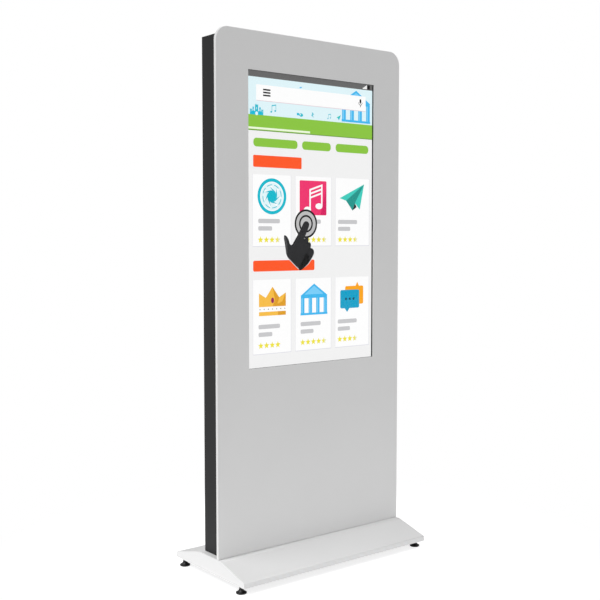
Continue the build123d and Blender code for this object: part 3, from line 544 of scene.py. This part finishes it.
def draw_note(x, z, height, colour, layer):
    """Two beamed notes: two oval heads, two stems and a slanting beam."""
    gap = height * 0.75
    rise = height * 0.18
    for k in (0, 1):
        head_x = x - gap / 2 + k * gap
        head_z = z + k * rise
        draw(colour, oval(head_x - height * 0.13, head_z, height * 0.17, height * 0.13, 20), layer)
        stem = rectangle(head_x - height * 0.04, head_x + height * 0.04, head_z, head_z + height)
        draw(colour, stem, layer + 0.2)
    top = z + height
    beam = height * 0.16
    left, right = x - gap / 2 - height * 0.04, x + gap / 2 + height * 0.04
    slant = [(left, top - beam), (right, top + rise - beam), (right, top + rise), (left, top)]
    draw(colour, slant, layer + 0.4)


def draw_castle(x, z):
    """A little toy castle: five towers with battlements, a wall and a round gate."""
    towers = ((0, 8, 15), (10, 6, 22), (20, 12, 30), (36, 6, 22), (44, 8, 15))
    for k, (left, width, height) in enumerate(towers):
        colour = "cyan" if k % 2 else "teal"
        draw(colour, rectangle(x + left, x + left + width, z, z + height), 2)
        for tooth in (0, 1, 2):
            start = x + left + tooth * width * 0.4
            draw(colour, rectangle(start, start + width * 0.2, z + height, z + height + 3), 2)
        slit = x + left + width / 2
        draw("sky", rectangle(slit - 0.9, slit + 0.9, z + height * 0.55, z + height * 0.8), 3)
    draw("cyan", rectangle(x, x + 52, z, z + 11), 3)
    draw("sky", oval(x + 26, z + 4, 5.5, 6, 20), 4)


def draw_museum(x, z, width, height, layer):
    """A temple front: steps, four columns, a beam and a gable."""
    half = width / 2
    low, high, eaves = z + height * 0.07, z + height * 0.54, z + height * 0.62
    draw("sky_blue", rectangle(x - half, x + half, z, low), layer)
    draw("sky_blue", rectangle(x - half * 0.97, x + half * 0.97, high, eaves), layer)
    draw("sky_blue", [(x - half, eaves), (x + half, eaves), (x, z + height)], layer)
    inner_low, inner_high = z + height * 0.66, z + height * 0.93
    inner = [(x - half * 0.7, inner_low), (x + half * 0.7, inner_low), (x, inner_high)]
    draw("pale_blue", inner, layer + 1)
    column = width * 0.13
    for k in range(4):
        middle = x - half * 0.84 + k * half * 0.56
        draw("sky_blue", rectangle(middle - column / 2, middle + column / 2, low, high), layer)
        draw("pale_blue", rectangle(middle - column * 0.32, middle, low, high), layer + 1)


def page_labels():
    """The green pills and the two orange headings."""
    for left, right in ((25, 202), (221, 343.5), (365, 513)):
        draw("green", rectangle(left, right, 704.5, 732, 12), 1)
    draw("orange", rectangle(24, 219, 640.5, 678, 4.5), 1)
    draw("orange", rectangle(22.7, 273.7, 309, 344, 6), 1)


def page_cards():
    """Six cards, each with two grey text bars and a row of stars."""
    star_counts = {UPPER_CARDS: (4, 5, 4), LOWER_CARDS: (4, 5, 4)}
    text_rows = {UPPER_CARDS: ((463, 477), (439.5, 453.5)), LOWER_CARDS: ((124, 138), (99, 113))}
    star_rows = {UPPER_CARDS: 410, LOWER_CARDS: 70}
    for (low, high), counts in star_counts.items():
        for column, count in enumerate(counts):
            left = card_left(column)
            draw("shade", rectangle(left - 0.8, left + CARD_WIDTH + 1.4, low - 2, high, 2), 1)
            draw("white", rectangle(left, left + CARD_WIDTH, low, high, 2), 2)
            text_left = left + (ICON_INSET if column != 2 else 11)
            for (bar_low, bar_high), width in zip(text_rows[low, high], (86, 55)):
                draw("text_bar", rectangle(text_left, text_left + width, bar_low, bar_high, 4.5), 3)
            for k in range(count):
                place = (text_left + 9 + 22.8 * k, star_rows[low, high], STAR_RADIUS)
                draw("star", star(*place), 3)
                if k == count - 1 and (column, low) != (0, LOWER_CARDS[0]):
                    draw("pale_star", star(*place, range(5, 11)), 3.5)


def icon_aperture(x, z):
    """A camera's round diaphragm: a bold ring, a broken thin ring and seven swirling blades."""

    def spot(radius, turn):
        return (x + radius * math.cos(turn), z + radius * math.sin(turn))

    ring("teal", x, z, 57.5, 47, 3)
    draw("ice", oval(x, z, 44, 44), 3)
    for k in range(8):
        start = 2 * math.pi * k / 8
        sweep = [start + math.pi / 4 * 0.7 * j / 5 for j in range(6)]
        band = [spot(38, turn) for turn in sweep] + [spot(35.5, turn) for turn in reversed(sweep)]
        draw("teal", band, 4)
    blades = 7
    for k in range(blades):
        turn = 2 * math.pi * k / blades
        root, tip = spot(15, turn), spot(33, turn + 0.95)
        draw("white", [root, spot(36, turn + 0.75), tip], 3.6)
        draw("teal", [root, spot(20, turn), tip, spot(19, turn + 0.62)], 4)
    draw("teal", oval(x, z, 20, 20, blades), 4.6)


def icon_music(left, right, low, high):
    """Beamed notes on a pink tile with a darker lower corner."""
    draw("pink", rectangle(left, right, low, high, 4), 3)
    corner = [(right, low + 5), (right, high - 22), (right - 26, low), (right - 5, low)]
    draw("deep_pink", corner, 4)
    draw("white", oval(left + 33, low + 18, 15, 10, 28), 5)
    draw("white", oval(left + 82, low + 30, 15, 10, 28), 5)
    draw("white", rectangle(left + 41, left + 47, low + 18, high - 30), 5.3)
    draw("white", rectangle(left + 91, left + 97, low + 30, high - 12), 5.3)
    for drop in (0, 13, 26):
        beam = [
            (left + 41, high - 34 - drop),
            (left + 97, high - 16 - drop),
            (left + 97, high - 10 - drop),
            (left + 41, high - 28 - drop),
        ]
        draw("white", beam, 5.6)


def icon_plane(tip_x, tip_z):
    """A folded paper plane that points up and to the right."""
    facets = (
        ("plane_light", [(0, 0), (-111, -50), (-82, -58)], 3),
        ("plane_dark", [(0, 0), (-82, -58), (-53, -91), (-44, -72)], 3),
        ("plane_light", [(0, 0), (-42, -66), (-20, -87)], 3.3),
        ("dark", [(-53, -91), (-34, -79), (-42, -66)], 3.6),
    )
    for colour, outline, layer in facets:
        draw(colour, shifted(outline, tip_x, tip_z), layer)


def icon_crown(x, low):
    """A three-pointed crown with a stone, a studded white band and a gold foot."""
    half = 54
    outline = [(-half, 29), (half, 29), (half, 73), (27, 58), (0, 93), (-27, 58), (-half, 73)]
    right_shade = [(0, 29), (half, 29), (half, 73), (40, 45)]
    middle_shade = [(0, 29), (10, 52), (0, 93), (27, 58), (18, 29)]
    draw("gold", shifted(outline, x, low), 3)
    draw("deep_gold", shifted(right_shade, x, low), 4)
    draw("deep_gold", shifted(middle_shade, x, low), 4)
    draw("ruby", oval(x, low + 49, 6, 9, 20), 5)
    draw("gold", rectangle(x - half, x + half, low, low + 13), 3)
    draw("deep_gold", rectangle(x + 22, x + half, low, low + 13), 4)
    for k in range(7):
        draw("dark", oval(x - half + 4 + k * (half - 4) / 3, low + 21, 1.8, 1.8, 12), 3)


def icon_chat(left, low):
    """Two speech bubbles, the front one with three dots."""
    draw("amber", rectangle(left + 22, left + 105, low + 13, low + 76, 6), 3)
    draw("amber", [(left + 66, low + 70), (left + 88, low + 70), (left + 77, low + 90)], 3.3)
    draw("petrol", rectangle(left, left + 86, low, low + 63, 6), 4)
    draw("petrol", [(left + 17, low + 4), (left + 31, low - 13), (left + 45, low + 4)], 4.3)
    for k in range(3):
        draw("deep_petrol", oval(left + 26 + 17 * k, low + 32, 4.5, 4.5, 16), 5)


def touch_mark():
    """Two rings where the screen is touched, and a pointing hand with its side and its shade."""
    x, z = 236.7, 462.5
    draw("mid_grey", oval(x, z, 46, 46), 9)
    ring("black", x, z, 47.5, 41, 10)
    ring("black", x, z, 29, 23, 10)
    hand = [
        (234, 471), (245, 470), (252, 459), (241, 437), (226, 408), (239, 421), (250, 413),
        (234, 388), (249, 402), (260, 391), (243, 368), (261, 383), (273, 370), (264, 356),
        (252, 341), (245, 333), (214, 314), (203, 317), (176, 340), (155, 358), (151, 385),
        (143, 424), (153, 425), (165, 411), (169, 395), (178, 392), (189, 408), (215, 445),
        (226, 466),
    ]
    thickness = [
        (241, 421), (249, 411), (245, 401), (255, 402), (259, 391), (254, 382), (266, 381),
        (272, 370), (266, 356), (254, 340), (246, 330), (216, 308), (204, 312), (210, 330),
        (228, 352), (238, 380),
    ]
    palm_shade = [(236, 372), (252, 352), (247, 336), (216, 316), (206, 322), (226, 344)]
    edge_shine = [(147, 418), (151, 421), (160, 392), (158, 362), (155, 362), (153, 388)]
    for spread, colour, layer in ((5, "soft_shade", 8), (2.5, "mid_shade", 8.6)):
        draw(colour, smooth(shifted(hand, spread * 0.4, -spread)), layer)
    draw("black", smooth(thickness), 11)
    draw("dark", smooth(hand, 1), 12)
    draw("black", smooth(palm_shade), 12.5)
    draw("grey_edge", smooth(edge_shine, 1), 12.8)


def build_page():
    """Draws the page, then makes one piece of each colour."""
    page_header()
    page_labels()
    page_cards()
    icon_aperture(card_left(0) + 76, 549)
    icon_music(210.5, 325, 491, 604.5)
    icon_plane(494, 600)
    icon_crown(card_left(0) + 77, 166)
    draw_museum(card_left(1) + 78.5, 160, 116, 104, 3)
    icon_chat(387, 175)
    touch_mark()
    for colour, shape in drawn.items():
        if not shape.verts:
            shape.free()
            continue
        bmesh.ops.recalc_face_normals(shape, faces=shape.faces)
        mesh = bpy.data.meshes.new("screen_" + colour)
        shape.to_mesh(mesh)
        shape.free()
        piece = new_object("screen_" + colour, mesh)
        mesh.materials.append(lit_material(colour))
        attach(piece, "kiosk")


def lit_material(colour):
    """A lit part of the display: an even glow over a fine matt surface."""
    value = linear(*ink[colour])
    dim = (value[0] * 0.03, value[1] * 0.03, value[2] * 0.03, 1)
    material = surface_material(
        "lit_" + colour, dim, 0.35, grain=2800, grain_depth=0.000004, variation=0.1, specular=0.1
    )
    shader = material.node_tree.nodes["Principled BSDF"]
    shader.inputs["Emission Color"].default_value = value
    shader.inputs["Emission Strength"].default_value = SCREEN_GLOW
    return material


build_page()


# ---------------------------------------------------------------- small parts
# Places are in metres. The sizes of a small part are in millimetres.
SCREW_PROFILE = ((0, 0.45), (0.42, 0.45), (0.5, 1.0), (0.8, 0.85), (1.0, 0.35), (1.0, 0))
RING_PROFILE = ((0.72, 0), (0.72, 1), (1, 1), (1, 0))
BACK = Vector((0, 1, 0))
SEAT_DEPTH = 0.2

LEAF_HALF_HEIGHT = 40
LEAF_THICKNESS = 2
LEAF_SCREW_INSET = 8
LEAF_SCREW_HEIGHTS = (-30, -10, 10, 30)
INLET_SCREW_OFFSET = 20
PORT_LIGHT_OFFSET = 5
PORT_LIGHT_DROP = 1.6
PORT_LIGHT_GLOW = 0.8
MARK_DEPTH = 0.15
FIN_COUNT = 17
FIN_MARGIN = 12
LOUVRE_COLUMNS, LOUVRE_ROWS = 4, 9
LOUVRE_HEIGHT = 3.5
TERMINAL_COUNT = 8
RIB_COUNT = 6
RIB_HALF_LENGTH = 95
RAIL_SCREW_INSET = 20


def middle_of(node):
    low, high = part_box(node)
    return (Vector(low) + Vector(high)) / 2


def part_way(start, end, share):
    return start + share * (end - start)


def around(middle, half):
    """Two limits round a place, half a size in millimetres to each side."""
    return (middle - half * MM, middle + half * MM)


def standing_on(face, height, depth=SEAT_DEPTH):
    """Two limits of a piece that stands on a face and is let into it a little."""
    return (face - depth * MM, face + height * MM)


def add_block(shape, x, y, z):
    """A block between two limits on each axis."""
    low, high = (Vector(corner) for corner in zip(x, y, z))
    made = bmesh.ops.create_cube(shape, size=1)
    bmesh.ops.scale(shape, vec=high - low, verts=made["verts"])
    bmesh.ops.translate(shape, vec=(high + low) / 2, verts=made["verts"])


def add_turned(shape, seat, radius, height, profile=SCREW_PROFILE, count=24):
    """A turned shape that stands on its seat and faces back, such as a screw's head.

    The profile gives shares of the radius and of the height.
    """
    turn = BACK.to_track_quat("Z", "Y")
    rings = []
    for share, level in profile:
        reach = share * radius * MM
        circle = []
        for k in range(count if share else 1):
            angle = 2 * math.pi * k / count
            spot = (reach * math.cos(angle), reach * math.sin(angle), level * height * MM)
            circle.append(shape.verts.new(Vector(seat) + turn @ Vector(spot)))
        rings.append(circle)
    for one, other in zip(rings, rings[1:]):
        for k in range(count):
            after = (k + 1) % count
            corners = [one[k % len(one)], other[k], other[after], one[after % len(one)]]
            shape.faces.new(list(dict.fromkeys(corners)))
    shape.faces.new(list(reversed(rings[-1])))


def small_part(name, shape, slot, body, round_edge=0.2, finish=None):
    """Makes one piece of the shape, with finely rounded edges, and lets it ride on its body."""
    bmesh.ops.recalc_face_normals(shape, faces=shape.faces)
    mesh = bpy.data.meshes.new(name)
    shape.to_mesh(mesh)
    shape.free()
    piece = new_object(name, mesh)
    mesh.materials.append(finish or finishes[slot])
    bevel = piece.modifiers.new("edge", "BEVEL")
    bevel.width = round_edge * MM
    bevel.segments = 2
    bevel.limit_method = "ANGLE"
    bevel.angle_limit = math.radians(50)
    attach(piece, body)


def hinge_screws():
    """Four screws in each hinge leaf: two pairs on the door and two on the housing."""
    half = LEAF_HALF_HEIGHT * MM
    for node, body in (("hinge_door_leaves", "rear_door"), ("hinge_frame_leaves", "kiosk")):
        low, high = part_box(node)
        outer, inward = (low.x, 1) if body == "rear_door" else (high.x, -1)
        x = outer + inward * LEAF_SCREW_INSET * MM
        y = low.y + LEAF_THICKNESS * MM
        shape = bmesh.new()
        for leaf_middle in (low.z + half, (low.z + high.z) / 2, high.z - half):
            for height in LEAF_SCREW_HEIGHTS:
                add_turned(shape, (x, y, leaf_middle + height * MM), 3.2, 1.8)
        small_part("hinge_screws_" + body, shape, "fastener_steel", body)


def connection_details():
    """Screws round the connection panel and on the inlet, and the network port's two lights."""
    low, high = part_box("connection_panel")
    shape = bmesh.new()
    for across in (0.03, 0.27, 0.73, 0.97):
        for up in (0.1, 0.9):
            seat = (part_way(low.x, high.x, across), high.y, part_way(low.z, high.z, up))
            add_turned(shape, seat, 3.4, 1.9)
    inlet = middle_of("mains_inlet")
    inlet_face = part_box("mains_inlet")[1].y
    for side in (-1, 1):
        x = inlet.x + side * INLET_SCREW_OFFSET * MM
        add_turned(shape, (x, inlet_face, inlet.z), 2.6, 1.3)
    small_part("connection_screws", shape, "fastener_steel", "kiosk")

    port = middle_of("network_port")
    port_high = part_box("network_port")[1]
    lights = (("port_light_left", -1, (60, 220, 90)), ("port_light_right", 1, (250, 170, 40)))
    for name, side, colour in lights:
        shape = bmesh.new()
        add_block(
            shape,
            around(port.x + side * PORT_LIGHT_OFFSET * MM, 1.4),
            standing_on(port_high.y, 0.25, depth=0.1),
            around(port_high.z - PORT_LIGHT_DROP * MM, 0.6),
        )
        glow = surface_material(name, linear(*colour), 0.3, grain=900)
        shader = glow.node_tree.nodes["Principled BSDF"]
        shader.inputs["Emission Color"].default_value = linear(*colour)
        shader.inputs["Emission Strength"].default_value = PORT_LIGHT_GLOW
        small_part(name, shape, "frame_black", "kiosk", 0.1, glow)


def rocker_marks():
    """The bar and the ring that show the rocker's two positions, just proud of its slopes."""
    low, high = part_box("switch_rocker")
    middle = middle_of("switch_rocker")
    for name, level in (("bar", 0.80), ("ring", 0.26)):
        z = part_way(low.z, high.z, level)
        face = surface_at("switch_rocker", middle.x, z)
        shape = bmesh.new()
        if name == "ring":
            add_turned(shape, (middle.x, face - MARK_DEPTH * MM, z), 2.2, 0.35, RING_PROFILE)
        else:
            depth = standing_on(face, 0.2, MARK_DEPTH)
            add_block(shape, around(middle.x, 0.4), depth, around(z, 2.2))
        small_part("rocker_mark_" + name, shape, "button_grey", "rocker", 0.05, mark_white)


def surface_at(node, x, z):
    """How far back a node's surface stands at this x and z, seen from behind the kiosk."""
    tree = BVHTree.FromObject(nodes[node], bpy.context.evaluated_depsgraph_get())
    hit = tree.ray_cast(Vector((x, 1, z)), -BACK)
    return hit[0].y


def case_details():
    """Fins on the computer, louvres on the supply, and the screws and sockets of the cases."""
    low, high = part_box("mini_pc_case")
    shape = bmesh.new()
    for k in range(FIN_COUNT):
        x = part_way(low.x + 14 * MM, high.x - 26 * MM, k / (FIN_COUNT - 1))
        z = (low.z + FIN_MARGIN * MM, high.z - FIN_MARGIN * MM)
        add_block(shape, around(x, 1.2), standing_on(high.y, 5), z)
    small_part("mini_pc_fins", shape, "case_aluminium", "kiosk", 0.4)

    low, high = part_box("power_supply")
    shape = bmesh.new()
    for column in range(LOUVRE_COLUMNS):
        x = part_way(low.x, high.x, 0.16 + 0.68 * column / (LOUVRE_COLUMNS - 1))
        for row in range(LOUVRE_ROWS):
            z = part_way(low.z, high.z, 0.14 + 0.72 * row / (LOUVRE_ROWS - 1))
            louvre = (z, z + LOUVRE_HEIGHT * MM)
            add_block(shape, around(x, 19), standing_on(high.y, 1.6), louvre)
    finish = own_finishes["power_supply"]
    small_part("supply_louvres", shape, "zinc_sheet", "kiosk", 0.7, finish)

    shape = bmesh.new()
    for node in ("power_supply", "display_controller", "mini_pc_case"):
        low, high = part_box(node)
        for x in (low.x + 6 * MM, high.x - 12 * MM):
            for z in (low.z + 6 * MM, high.z - 6 * MM):
                add_turned(shape, (x, high.y, z), 2.8, 1.5)
    small_part("case_screws", shape, "fastener_steel", "kiosk")

    low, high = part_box("display_controller")
    shape = bmesh.new()
    for share in (0.2, 0.38, 0.8):
        x = part_way(low.x, high.x, share)
        depth = (low.y + 5 * MM, low.y + 13 * MM)
        add_block(shape, around(x, 8), depth, standing_on(high.z, 5, depth=0.1))
    small_part("controller_sockets", shape, "frame_black", "kiosk", 0.4)

    low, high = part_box("terminal_block")
    pitch = (high.x - low.x) / TERMINAL_COUNT
    shape = bmesh.new()
    for k in range(TERMINAL_COUNT):
        seat = (low.x + (k + 0.5) * pitch, high.y - 6 * MM, (low.z + high.z) / 2)
        add_turned(shape, seat, pitch * 0.23 / MM, 2.5)
    small_part("terminal_screws", shape, "contact_brass", "kiosk")
    shape = bmesh.new()
    for k in range(TERMINAL_COUNT + 1):
        wall = around(low.x + k * pitch, 0.5)
        add_block(shape, wall, standing_on(high.y, 1.5), (low.z, high.z))
    small_part("terminal_walls", shape, "button_grey", "kiosk")


def display_back_details():
    """Pressed ribs on the display's back, and screws that hold its two rails."""
    low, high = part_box("lcd_back_cover")
    shape = bmesh.new()
    for k in range(RIB_COUNT):
        z = part_way(low.z, high.z, 0.12 + 0.76 * k / (RIB_COUNT - 1))
        add_block(shape, around(0, RIB_HALF_LENGTH), standing_on(high.y, 2.2), around(z, 11))
    finish = own_finishes["lcd_back_cover"]
    small_part("back_cover_ribs", shape, "zinc_sheet", "kiosk", 1.8, finish)

    low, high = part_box("display_rails")
    shape = bmesh.new()
    for x in (low.x + RAIL_SCREW_INSET * MM, high.x - RAIL_SCREW_INSET * MM):
        for share in (0.03, 0.2, 0.8, 0.97):
            add_turned(shape, (x, high.y, part_way(low.z, high.z, share)), 5, 3)
    small_part("display_rail_screws", shape, "fastener_steel", "kiosk")


def cable_ends():
    """Moulded plugs where the inner cables meet their cases."""
    shape = bmesh.new()
    case_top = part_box("display_controller")[1].z
    plug = (case_top, case_top + 16 * MM)
    case_y = middle_of("display_controller").y
    add_block(shape, around(middle_of("display_cable").x, 10), around(case_y, 4.5), plug)

    supply = middle_of("power_supply")
    supply_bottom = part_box("power_supply")[0].z
    plug = (supply_bottom - 14 * MM, supply_bottom)
    add_block(shape, around(supply.x, 7), around(supply.y, 6), plug)

    touch = middle_of("touch_controller")
    touch_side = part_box("touch_controller")[1].x
    plug = (touch_side, touch_side + 12 * MM)
    add_block(shape, plug, around(touch.y, 3.5), around(touch.z, 5))
    small_part("cable_plugs", shape, "cable_black", "kiosk", 1.2)


hinge_screws()
connection_details()
rocker_marks()
case_details()
display_back_details()
cable_ends()
